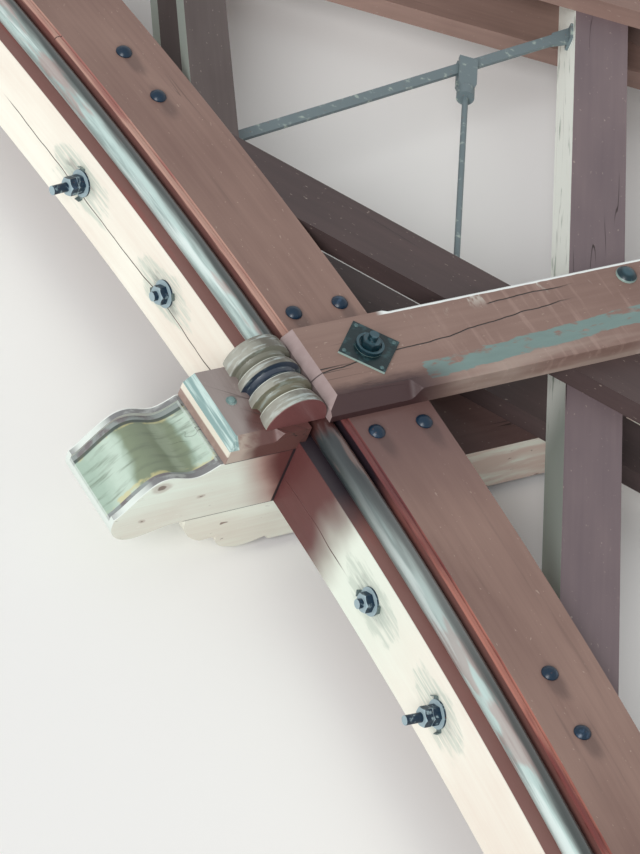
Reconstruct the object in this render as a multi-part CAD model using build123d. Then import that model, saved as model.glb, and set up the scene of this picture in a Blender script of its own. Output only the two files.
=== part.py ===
"""Arched timber roof truss, lying flat with its near face up.

A semicircular rib and the two rafters above it are clasped by pairs of planks set on the
arch's radii.  Under the arch each clasp ends in a carved bracket head, with half a turned
collar across the round moulding of the rib.  Near each eave a post, a level beam, a pair
of braces and a pair of struts fill the space between rib and rafter, with a flat iron bar
and its hanger.

Millimetres.  X runs along the span, Y from the feet to the ridge, Z through the thickness.
The origin is on the floor under the middle of the truss's outline.
"""
import math
import os

from build123d import *

# bolts
BOLT_D = 25.0
BOLT_HOLE = 26.0
HEX_AF = 46.0                  # nuts and far heads, across flats
HEX_H = 22.0
WASHER_D = 74.0
WASHER_T = 5.0
DISH_H = 12.0                  # dished washers under the near nuts
DISH_RIM = 7.0
PLATE = 128.0                  # square plates under the dished washers
PLATE_T = 6.0
PLATE_TURN = 41.0
STICK = 18.0                   # bolt end past its nut
DOME_D = 44.0                  # round heads on the rib
DOME_H = 16.0
POST_DOME_D = 58.0             # round head over the eave post
TIP_BOLT = 150.0               # from the plank's outer end

# levels through the thickness
FAR_T = 160.0                  # far clasping planks
NEAR_T = 56.0                  # near clasping planks
RIB_T = 265.0                  # rib and rafters
REST = WASHER_T + HEX_H        # far-side bolt heads, below the far planks
Z_RIB = REST + FAR_T
Z_FACE = Z_RIB + RIB_T         # near face of the rib

# rib
R_OUT = 12960.0                # back of the arch
RIB_DEPTH = 380.0
R_IN = R_OUT - RIB_DEPTH
REBATE_R = 112.0               # rebate of the near inner edge, on the radius
REBATE_Z = 50.0                # and through the thickness
BEAD_D = 18.0                  # bead on the arris between rebate and near face
BEAD_QUIRK = 4.0
ROLL_D = 65.0                  # round moulding lying in the rebate
ROLL_GAP = 8.5                 # between the moulding and the rebate's wall
ROLL_JOINT = 1.0               # open joint of the moulding, under each collar

# clasps: polar angles of their axes from the springing line
CLASP_ANGLES = (34.4, 64.6, 90.0)
PLANK_W = 265.0
PLANK_INNER = R_IN + 75.0      # near plank's inner end, on the radius
END_CHAMFER = 25.0             # across its inner end
SIDE_CHAMFER = 36.0            # along its lower edge, over the rib
EDGE_CHAMFER = 8.0             # along its upper edge, from the rib's back outwards
TONGUE = 45.0                  # length of the curved stop of a chamfer
STOP_R = R_OUT - 25.0          # where the lower chamfer ends
EDGE_R = R_OUT - 20.0          # where the upper chamfer begins
FAR_INNER = R_IN - 258.0       # far plank's scrolled inner end
TIP_COVER = 40.0               # plank's outer end, below the rafter's upper side

# rafters
PITCH = 25.4
RAFTER_GAP = 150.0             # least distance between the rib's back and the rafter
RAFTER_DEPTH = 300.0
TAIL_IN = 10.0                 # tail end, in from the back of the arch
TAN = math.tan(math.radians(PITCH))
COS = math.cos(math.radians(PITCH))
UNDER_Y = (R_OUT + RAFTER_GAP) / COS   # rafter's underside on the middle line
RIDGE_Y = UNDER_Y + RAFTER_DEPTH / COS

# eave frame on the right, in the arch's own coordinates
POST_IN = 1813.0               # inner side of the post, in from the back of the arch
POST_W = 155.0
POST_T = 150.0
POST_X0 = R_OUT - POST_IN
POST_X1 = POST_X0 + POST_W
POST_Z = Z_RIB + (RIB_T - POST_T) / 2   # paired timbers clasp the post, flush with the rib
BEAM_W = 240.0
BEAM_DROP = 230.0              # beams' lower edge, below the rafter at the post
BRACE_ANGLE = 38.15            # polar angle at which the brace's upper edge meets the rib's back
BRACE_SLOPE = 20.3
BRACE_W = 170.0
BRACE_PAST = 340.0             # past the post
STRUT_ANGLE = 38.5             # polar angle of the strut's foot
STRUT_W = 120.0
STRUT_LEAN = 8.2               # off the vertical
BAR_SLOPE = 41.6
BAR_DROP = 36.0                # its top at the post, below the beams
BAR_T = 10.0
BAR_W = 32.0
BAR_DEPTH = 100.0              # its middle, below the near face
LUG = 48.0                     # widened end at the post
FLANGE_T = 8.0
HANGER_IN = 297.0              # hanger's middle, in from the post
HANGER_W = 52.0
HANGER_H = 88.0
HANGER_LEG = 12.0
BOSS_D = 50.0                  # boss under the hanger
BOSS_H = 34.0
ROD_D = 17.0

# bolt places
CLASP_BOLT = (R_IN + 268.0, 25.0)      # on the rib, in the clasp's frame
POST_BOLT = (R_OUT + 750.0, 82.0)      # through the eave post
DOMES = (                      # beside each clasp: angle from its axis, distance from the rib's inner face
    (5.31, 265.0), (4.54, 260.0), (1.01, 182.0), (1.01, 325.0),
    (-0.86, 184.0), (-0.86, 328.0), (-4.47, 236.0), (-5.29, 230.0),
)
RADIALS = ((4.1, 95.0, 2), (2.22, 40.0, 1), (-2.62, 40.0, 1), (-4.26, 95.0, 2))   # angle, bolt end, nuts
RADIAL_Z = 150.0               # below the near face

# turned collar
COLLAR_R = R_IN - 16.0         # its axis, on the radius; its flat back lies on the near face
COLLAR_D = 174.0
COLLAR_RINGS = (45.0, 26.0, 28.0, 46.0)   # widths of its rings, from the upper end
COLLAR_COVE = 29.0             # width of each hollow between them
COLLAR_L = sum(COLLAR_RINGS) + 3 * COLLAR_COVE
COLLAR_FLARE = 7.0             # each ring is this much slimmer at its upper arris
COVE_DEPTH = 16.0

# bracket head
HEAD_W = 240.0
HEAD_SHIFT = -16.0             # its middle, across the clasp's axis
CAP_T = 70.0                   # top board
CAP_END = R_IN - 215.0
CAP_CHAMFER = 26.0
NOSE_L = 278.0                 # carved nose, past the cap
NOSE_END = CAP_END - NOSE_L
RIM = 17.0                     # rims either side of the nose's hollowed face
HOLLOW = 9.0
BELLY = 17.0                   # the nose's underside, below the rib

MID_Y = RIDGE_Y / 2            # the origin's height above the feet
BEYOND = 2 * R_OUT             # reach of the cutting tools


def place(shape):
    """From the arch's own coordinates to the part's frame."""
    return Pos(0, -MID_Y, 0) * shape


def prism(points, z0, z1):
    """Straight prism over a closed polygon."""
    face = make_face(Polyline(*points, close=True))
    return Pos(0, 0, z0) * extrude(face, amount=z1 - z0, dir=(0, 0, 1))


def outline(runs, at):
    """Closed face from runs of points: two make a straight side, more a smooth curve."""
    edges = []
    for run in runs:
        p = [at(u, v) for u, v in run]
        edges.append(Line(*p) if len(p) == 2 else Spline(*p))
    return make_face(edges)


def across(runs, y0, y1):
    """Prism along Y over an outline in X and Z."""
    return extrude(outline(runs, lambda u, v: (u, y0, v)), amount=y1 - y0, dir=(0, 1, 0))


def closed(points):
    """The straight sides of a polygon, as runs."""
    return [[p, q] for p, q in zip(points, points[1:] + points[:1])]


def on_clasp(shape, deg):
    """From a clasp's own frame (X out along the radius, Y across) to the arch's."""
    return Rot(0, 0, deg) * shape


def mirror_x(shape):
    return mirror(shape, about=Plane.YZ)


def biggest(shape):
    """Drops the slivers a cut leaves behind."""
    return max(shape.solids(), key=lambda s: s.volume)


def disc(x, y, z, d, h):
    return Pos(x, y, z + h / 2) * Cylinder(d / 2, h)


def polar(r, deg):
    return r * math.cos(math.radians(deg)), r * math.sin(math.radians(deg))


# bolts
def nut(x, y, z, height=HEX_H, up=True):
    """Hexagonal nut or head on level z, its free face chamfered to a circle."""
    c = HEX_AF / 2
    side = 2 * c / math.sqrt(3)
    body = extrude(RegularPolygon(side, 6), amount=height)
    turned = [(0, 0), (side + 1, 0), (side + 1, height - 4), (c - 1, height), (0, height)]
    face = make_face(Polyline(*[(r, 0, h) for r, h in turned], close=True))
    body = body & revolve(face, Axis.Z, 360)
    if not up:
        body = Pos(0, 0, height) * Rot(180, 0, 0) * body
    return Pos(x, y, z) * body


def dome(x, y, z, d, h):
    """Round head: a ball's cap on a low drum."""
    rise = 0.8 * h
    ball = ((d / 2) ** 2 + rise * rise) / (2 * rise)
    return disc(x, y, z, d, h) & Pos(x, y, z + h - ball) * Sphere(ball)


def clasp_bolt(x, y):
    """Bolt through both planks: near nut in a dished washer on a square plate, far head."""
    near = Z_FACE + NEAR_T
    b = disc(x, y, REST - WASHER_T, BOLT_D, near - REST + WASHER_T + PLATE_T + WASHER_T + HEX_H + STICK)
    b += Pos(x, y, near + PLATE_T / 2) * Rot(0, 0, PLATE_TURN) * Box(PLATE, PLATE, PLATE_T)
    dish = disc(x, y, near + PLATE_T, WASHER_D, DISH_H)
    b += dish - disc(x, y, near + PLATE_T + WASHER_T, WASHER_D - 2 * DISH_RIM, DISH_H)
    b += nut(x, y, near + PLATE_T + WASHER_T)
    b += disc(x, y, REST - WASHER_T, WASHER_D, WASHER_T)
    b += nut(x, y, 0, up=False)
    return b


def domed_bolt(x, y, z0, z1, d):
    """Bolt with a round near head and a far nut."""
    b = disc(x, y, z0 - WASHER_T, BOLT_D, z1 - z0 + WASHER_T)
    b += dome(x, y, z1, d, DOME_H * d / DOME_D)
    b += disc(x, y, z0 - WASHER_T, WASHER_D, WASHER_T)
    b += nut(x, y, z0 - WASHER_T - HEX_H, up=False)
    return b


# rib
def ring(points, a0, a1):
    """Turns a closed outline of (radius, z) points about the arch's axis."""
    face = make_face(Polyline(*[(r, 0, z) for r, z in points], close=True))
    return Rot(0, 0, a0) * revolve(face, Axis.Z, a1 - a0)


def rib_segment(a0, a1):
    """Part of the arch between two polar angles, with its rebate and beaded arris."""
    wall = R_IN + REBATE_R
    q = BEAD_QUIRK
    b = wall + BEAD_D
    pts = [
        (R_IN, Z_RIB), (R_OUT, Z_RIB), (R_OUT, Z_FACE), (b + q, Z_FACE), (b, Z_FACE - q),
        (b - 4, Z_FACE), (wall + 4, Z_FACE), (wall, Z_FACE - 4),
        (wall, Z_FACE - REBATE_Z), (R_IN, Z_FACE - REBATE_Z),
    ]
    return ring(pts, a0, a1)


def roll_segment(a0, a1):
    """Round moulding, flat where it lies on the rebate's floor."""
    r = ROLL_D / 2
    zc = Z_FACE - r
    rc = R_IN + REBATE_R - ROLL_GAP - r
    flat = Z_FACE - REBATE_Z
    half = math.sqrt(r * r - (zc - flat) ** 2)
    arc = ThreePointArc((rc + half, 0, flat), (rc, 0, zc + r), (rc - half, 0, flat))
    face = make_face([Line((rc - half, 0, flat), (rc + half, 0, flat)), arc])
    return Rot(0, 0, a0) * revolve(face, Axis.Z, a1 - a0)


# clasps
def chamfer_tool(x0, x1, y, z, width, side, tongues=(False, True)):
    """Wedge that takes a chamfer off a long edge, with curved stops where asked.

    side is 1 for an edge whose timber lies towards -Y, and -1 for the opposite edge.
    """
    d = width / math.sqrt(2)
    reach = 2 * width
    runs = []
    start, end = (x0, 0), (x1, 0)
    if tongues[0]:
        a, b = (x0 - TONGUE, 0), (x0, -d)
        runs.append([a, (x0 - TONGUE * 0.55, -d * 0.28), (x0 - TONGUE * 0.42, -d * 0.62), b])
        start = a
    else:
        b = (x0, -d)
        runs.append([start, b])
    if tongues[1]:
        c, e = (x1, -d), (x1 + TONGUE, 0)
        runs += [[b, c], [c, (x1 + TONGUE * 0.42, -d * 0.62), (x1 + TONGUE * 0.55, -d * 0.28), e]]
        end = e
    else:
        c = (x1, -d)
        runs += [[b, c], [c, end]]
    runs += [[end, (end[0], reach)], [(end[0], reach), (start[0], reach)], [(start[0], reach), start]]
    tool = extrude(outline(runs, lambda u, v: (u, -reach, v)), amount=2 * reach, dir=(0, 1, 0))
    return Pos(0, y, z) * Rot(-45 * side, 0, 0) * tool


def near_plank(outer, king):
    """Near plank, chamfered round its inner end, with curved stops at the rib's back."""
    h = PLANK_W / 2
    top = Z_FACE + NEAR_T
    x = PLANK_INNER
    p = prism([(x, -h), (outer, -h), (outer, h), (x, h)], Z_FACE, top)
    c = END_CHAMFER
    p -= across(closed([(x - 1, top + 1), (x + c + 1, top + 1), (x - 1, top - c - 1)]), -h, h)
    p -= chamfer_tool(x - 1, STOP_R - TONGUE, -h, top, SIDE_CHAMFER, -1)
    if king:
        p -= chamfer_tool(x - 1, STOP_R - TONGUE, h, top, SIDE_CHAMFER, 1)
    p -= chamfer_tool(EDGE_R + TONGUE, outer + 1, h, top, EDGE_CHAMFER, 1, (True, False))
    return p


def far_plank(outer):
    """Far plank with a scrolled inner end under the rib."""
    h = PLANK_W / 2
    z0, z1 = REST, Z_RIB
    x = FAR_INNER
    t = FAR_T
    return across([
        [(outer, z1), (x, z1)],
        [(x, z1), (x, z1 - 0.14 * t)],
        [(x, z1 - 0.14 * t), (x + 24, z1 - 0.42 * t), (x + 72, z1 - 0.63 * t)],
        [(x + 72, z1 - 0.63 * t), (x + 122, z1 - 0.62 * t)],
        [(x + 122, z1 - 0.62 * t), (x + 134, z1 - 0.82 * t), (x + 172, z1 - 0.95 * t)],
        [(x + 172, z1 - 0.95 * t), (x + 208, z0), (x + 246, z0 + 4), (x + 284, z0 + 14)],
        [(x + 284, z0 + 14), (x + 300, z0)],
        [(x + 300, z0), (outer, z0)],
        [(outer, z0), (outer, z1)],
    ], -h, h)


def collar():
    """Half of a turned collar along Y: four flared rings parted by hollows, flat at its back."""
    r = COLLAR_D / 2
    y = COLLAR_L / 2
    edges = [[(0, y), (r - 5, y)]]
    for i, width in enumerate(COLLAR_RINGS):
        top = r - (3 if i == 0 else COLLAR_FLARE)
        if i == 0:
            edges.append([(r - 5, y), (top, y - 2)])
            y -= 2
            width -= 2
        foot = y - width
        edges.append([(top, y), (top + (r - top) * 0.7, y - width * 0.4), (r, foot)])
        if i < len(COLLAR_RINGS) - 1:
            y = foot - COLLAR_COVE
            d = COVE_DEPTH
            edges.append([(r, foot), (r - d + 3, foot - 4)])
            edges.append([(r - d + 3, foot - 4), (r - d, foot - COLLAR_COVE * 0.45),
                          (r - COLLAR_FLARE, y)])
    edges += [[(r, foot), (0, foot)], [(0, foot), (0, COLLAR_L / 2)]]
    half = revolve(outline(edges, lambda u, v: (u, v, 0)), Axis.Y, 180)
    return Pos(COLLAR_R, 0, Z_FACE) * Rot(0, 180, 0) * half


def head(king):
    """Bracket head: a chamfered cap board on a body with a scrolled, hollowed nose."""
    h = HEAD_W / 2
    shift = 0 if king else HEAD_SHIFT
    y0, y1 = shift - h, shift + h
    top = Z_FACE
    zc = top - CAP_T
    c = CAP_CHAMFER
    x, e = CAP_END, NOSE_END
    back = R_IN + 20
    cap = across(closed([(x, zc), (back, zc), (back, top), (x + c, top), (x, top - c)]), y0, y1)
    cap -= chamfer_tool(x - 1, R_IN - 2 * TONGUE, y0, top, c, -1)
    n = NOSE_L / 278
    s = [(x - 10 * n, zc), (x - 32 * n, zc - 15), (x - 66 * n, zc - 29), (x - 104 * n, zc - 24),
         (x - 142 * n, zc - 13), (x - 180 * n, zc - 17), (x - 212 * n, zc - 44), (x - 238 * n, zc - 78),
         (x - 262 * n, zc - 112), (e, zc - 128)]
    low = Z_RIB - BELLY
    free = FAR_INNER - 12
    body = across([
        [(back, Z_RIB), (back, zc)], [(back, zc), s[0]], s, [s[-1], (e, zc - 146)],
        [(e, zc - 146), (e + 10, zc - 180), (e + 50, low), (e + 120, low + 3), (free, Z_RIB)],
        [(free, Z_RIB), (back, Z_RIB)],
    ], y0, y1)
    sunk = [(u, v - HOLLOW) for u, v in s]
    last = (e - 40, sunk[-1][1] - 20)
    body -= across([
        sunk, [sunk[-1], last], [last, (last[0], zc + 20)],
        [(last[0], zc + 20), (sunk[0][0], zc + 20)], [(sunk[0][0], zc + 20), sunk[0]],
    ], y0 + RIM, y1 - RIM)
    rib = rib_segment(-3, 3)
    return biggest(cap - rib), biggest(body - rib)


# members beyond the rib
def rafter():
    """Right-hand rafter: plumb cut at the ridge, square tail."""
    x = R_OUT - TAIL_IN
    under = UNDER_Y - TAN * x
    s = math.sin(math.radians(PITCH))
    pts = [(0, UNDER_Y), (x, under), (x + s * RAFTER_DEPTH, under + COS * RAFTER_DEPTH), (0, RIDGE_Y)]
    return prism(pts, Z_RIB, Z_FACE)


def under_rafter(x):
    return UNDER_Y - TAN * x


def plank_end(deg):
    """Outer end of a clasp's planks: its corners stay below the rafter's upper side."""
    a = math.radians(deg)
    reach = (RIDGE_Y - TIP_COVER / COS) / (math.sin(a) + TAN * math.cos(a))
    return reach - PLANK_W / 2 * math.tan(abs(a - math.radians(90 - PITCH)))


def post():
    """Post between the rib's back and the rafter."""
    x0, x1 = POST_X0, POST_X1
    low = R_OUT / 3
    p = prism([(x0, low), (x1, low), (x1, under_rafter(x1)), (x0, under_rafter(x0))],
              POST_Z, POST_Z + POST_T)
    return p - disc(0, 0, 0, 2 * R_OUT, 2 * Z_FACE)


def paired(points, cut=None):
    """The two pieces of a paired timber, either side of the post and clear of the rib."""
    out = []
    for z0, z1 in ((Z_RIB, POST_Z), (POST_Z + POST_T, Z_FACE)):
        p = prism(points, z0, z1) - disc(0, 0, 0, 2 * R_OUT, 2 * Z_FACE)
        if cut is not None:
            p -= cut
        out.append(p)
    return out


def bar_outline(a, b, width):
    """Corners of a straight bar or timber between two points of the plane."""
    n = math.hypot(b[0] - a[0], b[1] - a[1])
    ux, uy = (b[0] - a[0]) / n, (b[1] - a[1]) / n
    h = width / 2
    return [
        (a[0] + uy * h, a[1] - ux * h), (b[0] + uy * h, b[1] - ux * h),
        (b[0] - uy * h, b[1] + ux * h), (a[0] - uy * h, a[1] + ux * h),
    ]


def brace_outline():
    """The brace's upper edge meets the rib's back, and its end is square past the post."""
    x, y = polar(R_OUT, BRACE_ANGLE)
    s, c = math.sin(math.radians(BRACE_SLOPE)), math.cos(math.radians(BRACE_SLOPE))
    h = BRACE_W / 2
    x, y = x - s * h, y - c * h
    run = (POST_X1 + BRACE_PAST - x) / c
    return bar_outline((x, y), (x + run * c, y - run * s), BRACE_W)


def strut_line(y):
    """Where the strut's middle line is at height y."""
    x0, y0 = polar(R_OUT, STRUT_ANGLE)
    return x0 - math.tan(math.radians(STRUT_LEAN)) * (y - y0)


def beams():
    """Level pair from the struts to the rafter."""
    y0 = under_rafter(POST_X0) - BEAM_DROP
    y1 = y0 + BEAM_W
    half = STRUT_W / 2 / math.cos(math.radians(STRUT_LEAN))
    x0, x1 = strut_line(y0) + half, strut_line(y1) + half
    return paired([(x0, y0), ((UNDER_Y - y0) / TAN, y0), ((UNDER_Y - y1) / TAN, y1), (x1, y1)])


def struts():
    """Pair rising from the braces' upper end to the rafter."""
    x, y = polar(R_OUT, STRUT_ANGLE)
    line = bar_outline((strut_line(y - STRUT_W), y - STRUT_W), (strut_line(UNDER_Y), UNDER_Y), STRUT_W)
    above = prism([(0, UNDER_Y), (R_OUT, under_rafter(R_OUT)), (R_OUT, BEYOND), (0, BEYOND)],
                  0, 2 * Z_FACE)
    return paired(line, above + prism(brace_outline(), 0, 2 * Z_FACE))


def flat_bar():
    """Flat iron bar on edge, from between the struts up to a flanged lug on the post."""
    z = Z_FACE - BAR_DEPTH - BAR_T / 2
    t = math.tan(math.radians(BAR_SLOPE))
    top = under_rafter(POST_X0) - BEAM_DROP - BAR_DROP
    drop = BAR_W / 2 / math.cos(math.radians(BAR_SLOPE))
    foot = polar(R_OUT, STRUT_ANGLE)[0] + STRUT_W / 3
    y = top - drop - t * (POST_X0 - foot)
    end = POST_X0 - FLANGE_T
    bar = prism(bar_outline((foot, y), (end, top - drop - t * FLANGE_T), BAR_W), z, z + BAR_T)
    lug = prism([(end - LUG, top - t * LUG - 1.6 * BAR_W), (end, top - 2 * BAR_W), (end, top),
                 (end - LUG, top - t * LUG)], z, z + BAR_T)
    flange = Pos(POST_X0, top - BAR_W, z + BAR_T / 2) * Box(
        FLANGE_T, 2 * BAR_W, LUG, align=(Align.MAX, Align.CENTER, Align.CENTER))
    past = Pos(end, 0, 0) * Box(BEYOND, BEYOND, BEYOND, align=(Align.MIN, Align.CENTER, Align.CENTER))
    return bar - past + lug + flange


def hanger():
    """Stirrup over the flat bar, with a boss and a round rod down to the braces."""
    x = POST_X0 - HANGER_IN
    z = Z_FACE - BAR_DEPTH
    t = math.tan(math.radians(BAR_SLOPE))
    top = under_rafter(POST_X0) - BEAM_DROP - BAR_DROP - t * HANGER_IN
    low = top - BAR_W / math.cos(math.radians(BAR_SLOPE)) - HANGER_H
    g = BAR_T / 2
    s = None
    for side in (-1, 1):
        z0, z1 = sorted((z + side * g, z + side * (g + HANGER_LEG)))
        leg = prism([(x - HANGER_W / 2, low + HANGER_W / 2), (x + HANGER_W / 2, low + HANGER_W / 2),
                     (x + HANGER_W / 2, top), (x - HANGER_W / 2, top)], z0, z1)
        leg += prism([(x - BOSS_D / 3, low), (x + BOSS_D / 3, low), (x + HANGER_W / 2, low + HANGER_W / 2),
                      (x - HANGER_W / 2, low + HANGER_W / 2)], z0, z1)
        s = leg if s is None else s + leg
    s += Pos(x, low - BOSS_H / 2 + 8, z) * (Rot(90, 0, 0) * Cylinder(BOSS_D / 2, BOSS_H))
    x0, y0 = polar(R_OUT, BRACE_ANGLE)
    foot = y0 - math.tan(math.radians(BRACE_SLOPE)) * (x - x0) - BRACE_W / 2
    s += Pos(x, (low + foot) / 2, z) * (Rot(90, 0, 0) * Cylinder(ROD_D / 2, low - foot))
    return s


def dome_places():
    return [polar(R_IN + r, a + da) for a in CLASP_ANGLES for da, r in DOMES if a + da < 90]


def rib_bolts():
    """Round-headed bolts through the rib, beside each clasp and between them, on the right."""
    return [domed_bolt(x, y, Z_RIB, Z_FACE, DOME_D) for x, y in dome_places()]


def radial_bolts():
    """Bolts across the rib's depth, nuts on the inner face, on the right."""
    out = []
    for a in CLASP_ANGLES:
        for da, stick, nuts in RADIALS:
            if a + da < 90:
                b = disc(0, 0, -stick, BOLT_D, RIB_DEPTH + stick)
                b += disc(0, 0, -WASHER_T, WASHER_D, WASHER_T)
                for i in range(nuts):
                    b += nut(0, 0, -WASHER_T - (i + 1) * HEX_H, up=False)
                b = Pos(R_IN - 0.06, 0, Z_FACE - RADIAL_Z) * (Rot(0, 90, 0) * b)
                out.append(Rot(0, 0, a + da) * b)
    return out


def write(name, *shapes):
    placed = [place(s) for s in shapes]
    export_step(placed[0] if len(placed) == 1 else Compound(children=placed), f"parts/{name}.step")


def write_both(name, *shapes):
    """One node for the right-hand side and its mirror image for the left."""
    write(f"{name}_right", *shapes)
    write(f"{name}_left", *[mirror_x(s) for s in shapes])


def drilled(shape, bolts):
    """Takes the bolts' holes out of a timber."""
    for x, y in bolts:
        shape -= disc(x, y, -10, BOLT_HOLE, 2 * Z_FACE)
    return shape


def main():
    os.makedirs("parts", exist_ok=True)
    a1, a2, a3 = CLASP_ANGLES
    outer = {a: plank_end(a) for a in CLASP_ANGLES}
    names = {a1: "haunch", a2: "crown", a3: "king"}
    spots = {a: [CLASP_BOLT, (outer[a] - TIP_BOLT, 0)] for a in CLASP_ANGLES}
    spots[a1].insert(1, POST_BOLT)
    spots[a3][0] = (CLASP_BOLT[0], 0)
    through = []                       # every clasp bolt, in the arch's frame
    for a in CLASP_ANGLES:
        c, s = math.cos(math.radians(a)), math.sin(math.radians(a))
        through += [(x * c - y * s, x * s + y * c) for x, y in spots[a]]

    joint = math.degrees(ROLL_JOINT / 2 / R_IN)
    rolls = []
    for name, b0, b1 in (("foot", 0, a1), ("haunch", a1, a2), ("crown", a2, a3)):
        seg = rib_segment(b0, b1)
        near = [p for p in through + dome_places()
                if b0 - 1 < math.degrees(math.atan2(p[1], p[0])) < b1 + 1 and math.hypot(*p) < R_OUT]
        seg = drilled(seg, near)
        for a in CLASP_ANGLES:
            for da, *_ in RADIALS:
                if b0 < a + da < b1:
                    seg -= Rot(0, 0, a + da) * (
                        Pos(R_IN + RIB_DEPTH / 2, 0, Z_FACE - RADIAL_Z)
                        * (Rot(0, 90, 0) * Cylinder(BOLT_HOLE / 2, 1.2 * RIB_DEPTH))
                    )
        write_both(f"rib_{name}", seg)
        rolls.append(roll_segment(b0 + (joint if b0 else 0), b1 - joint))
    write_both("edge_rolls", *rolls)

    collars, caps = [], []
    for a in CLASP_ANGLES:
        king = a == a3
        cap, body = head(king)
        near = on_clasp(drilled(near_plank(outer[a], king), spots[a]), a)
        far = on_clasp(drilled(far_plank(outer[a]), spots[a]), a)
        bolts = [on_clasp(domed_bolt(x, y, REST, Z_FACE + NEAR_T, POST_DOME_D) if (x, y) == POST_BOLT
                          else clasp_bolt(x, y), a) for x, y in spots[a]]
        shapes = {"near_plank": [near], "far_plank": [far], "head": [on_clasp(body, a)],
                  "clasp_bolts": bolts}
        for key, v in shapes.items():
            if king:
                write(f"{key}_{names[a]}", *v)
            else:
                write_both(f"{key}_{names[a]}", *v)
        for group, piece in ((collars, collar()), (caps, cap)):
            piece = on_clasp(piece, a)
            group.append(piece)
            if not king:
                group.append(mirror_x(piece))
    write("turned_collars", *collars)
    write("head_caps", *caps)

    write_both("rafter", drilled(rafter(), [p for p in through if math.hypot(*p) > R_OUT + RAFTER_GAP]))
    write_both("eave_post", drilled(post(), through))
    write_both("eave_beams", *beams())
    write_both("eave_braces", *paired(brace_outline()))
    write_both("eave_struts", *struts())
    write_both("flat_bar", flat_bar())
    write_both("hanger_rod", hanger())
    write_both("rib_bolts", *rib_bolts())
    write_both("rib_radial_bolts", *radial_bolts())


if __name__ == "__main__":
    main()
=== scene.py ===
"""Finishes the arched timber roof truss: painted timber, enamelled mouldings, turned collars,
carved bracket heads and forged iron, with a studio stage at the viewing angle."""
import math

import bmesh
import bpy
from bpy.props import FloatProperty, FloatVectorProperty, PointerProperty
from mathutils import Matrix, Vector


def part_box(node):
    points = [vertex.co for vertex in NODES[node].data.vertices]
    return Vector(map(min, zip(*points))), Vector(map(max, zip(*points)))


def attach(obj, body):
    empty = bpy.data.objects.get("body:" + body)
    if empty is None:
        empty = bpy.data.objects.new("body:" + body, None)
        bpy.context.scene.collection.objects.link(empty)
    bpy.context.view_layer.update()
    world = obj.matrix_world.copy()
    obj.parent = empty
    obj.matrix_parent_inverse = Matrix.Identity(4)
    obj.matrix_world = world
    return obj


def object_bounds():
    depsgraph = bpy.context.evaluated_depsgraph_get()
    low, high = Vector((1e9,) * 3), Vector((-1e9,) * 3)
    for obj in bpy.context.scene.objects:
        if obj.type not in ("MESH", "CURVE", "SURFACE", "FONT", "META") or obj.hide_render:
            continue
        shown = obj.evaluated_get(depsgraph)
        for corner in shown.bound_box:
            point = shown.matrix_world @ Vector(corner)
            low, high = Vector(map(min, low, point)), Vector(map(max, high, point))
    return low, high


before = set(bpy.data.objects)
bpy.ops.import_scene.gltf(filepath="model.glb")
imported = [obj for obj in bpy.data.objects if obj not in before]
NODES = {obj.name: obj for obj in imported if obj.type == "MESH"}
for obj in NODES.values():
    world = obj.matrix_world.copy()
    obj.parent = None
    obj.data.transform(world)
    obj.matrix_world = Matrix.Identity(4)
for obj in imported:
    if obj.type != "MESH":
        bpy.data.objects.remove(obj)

bl_info = {
    "name": "Arched Roof Truss Finish",
    "version": (1, 0, 0),
    "blender": (4, 5, 0),
    "location": "View3D > Sidebar > Truss",
    "description": "Paints and details an arched timber roof truss",
    "category": "Object",
}

CAD_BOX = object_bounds()
SIDES = (("right", 1), ("left", -1))
MM = 0.001
MID_Y = -CAD_BOX[0][1]                 # the feet lie this far below the part's middle
Z_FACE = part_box("rib_foot_right")[1][2]
Z_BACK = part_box("rib_foot_right")[0][2]
R_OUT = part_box("rib_foot_right")[1][0]
R_IN = R_OUT - 380 * MM
REBATE_R = R_IN + 112 * MM             # where the rebate's floor meets the bead
BEAD_R = R_IN + 134 * MM               # where the bead meets the face
BEAD_JOINT = 1.27                      # metres up from a clasp to where two lengths of bead butt
CAP_END = R_IN - 215 * MM
CAP_BOLT_R = R_IN - 143 * MM
PLATE_R = R_IN + 268 * MM
PLATE_SHIFT = 25 * MM                  # the side plates' middle, above the clasp's axis
PLATE_TURN = 41                        # degrees between the plates and their planks
PLATE_TOP = Z_FACE + 62 * MM
HEAD_HALF = 120 * MM
HEAD_SHIFT = 16 * MM                   # the side heads' middle, below the clasp's axis
RIM = 17 * MM                          # width of the rims beside the hollowed nose
NUT_Z = Z_FACE - 150 * MM
PITCH = 25.4                           # degrees of the rafters
CLASPS = {"haunch": 34.4, "crown": 64.6, "king": 90.0}   # degrees up from the springing line
NUT_TURNS = (4.1, 2.22, -2.62, -4.26)  # degrees from each clasp to the nuts under the arch
# degrees from each clasp to a domed bolt, and its millimetres out from the inner face
DOMES = ((5.31, 265), (4.54, 260), (1.01, 182), (1.01, 325),
         (-0.86, 184), (-0.86, 328), (-4.47, 236), (-5.29, 230))
# millimetres back from the inner face and down from the near face, and the size
KNOTS = ((370, 99, 24), (235, 168, 10), (392, 215, 9))
# radius and height in metres
CAP_HEAD = ((0.014, 0), (0.014, 0.0025), (0.0105, 0.003), (0.0105, 0.006), (0.0085, 0.0095),
            (0.004, 0.0115))
NAIL_HEAD = ((0.006, 0), (0.006, 0.0015), (0.0045, 0.0035), (0.002, 0.0045))
# a tab from the side: metres out from its bolt and off the rib
TAB = ((0.02, 0.0), (0.043, 0.0), (0.0455, 0.002), (0.048, 0.012), (0.0455, 0.012),
       (0.0425, 0.003), (0.02, 0.003))
MATH = "ShaderNodeMath"
VECTOR_MATH = "ShaderNodeVectorMath"


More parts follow.
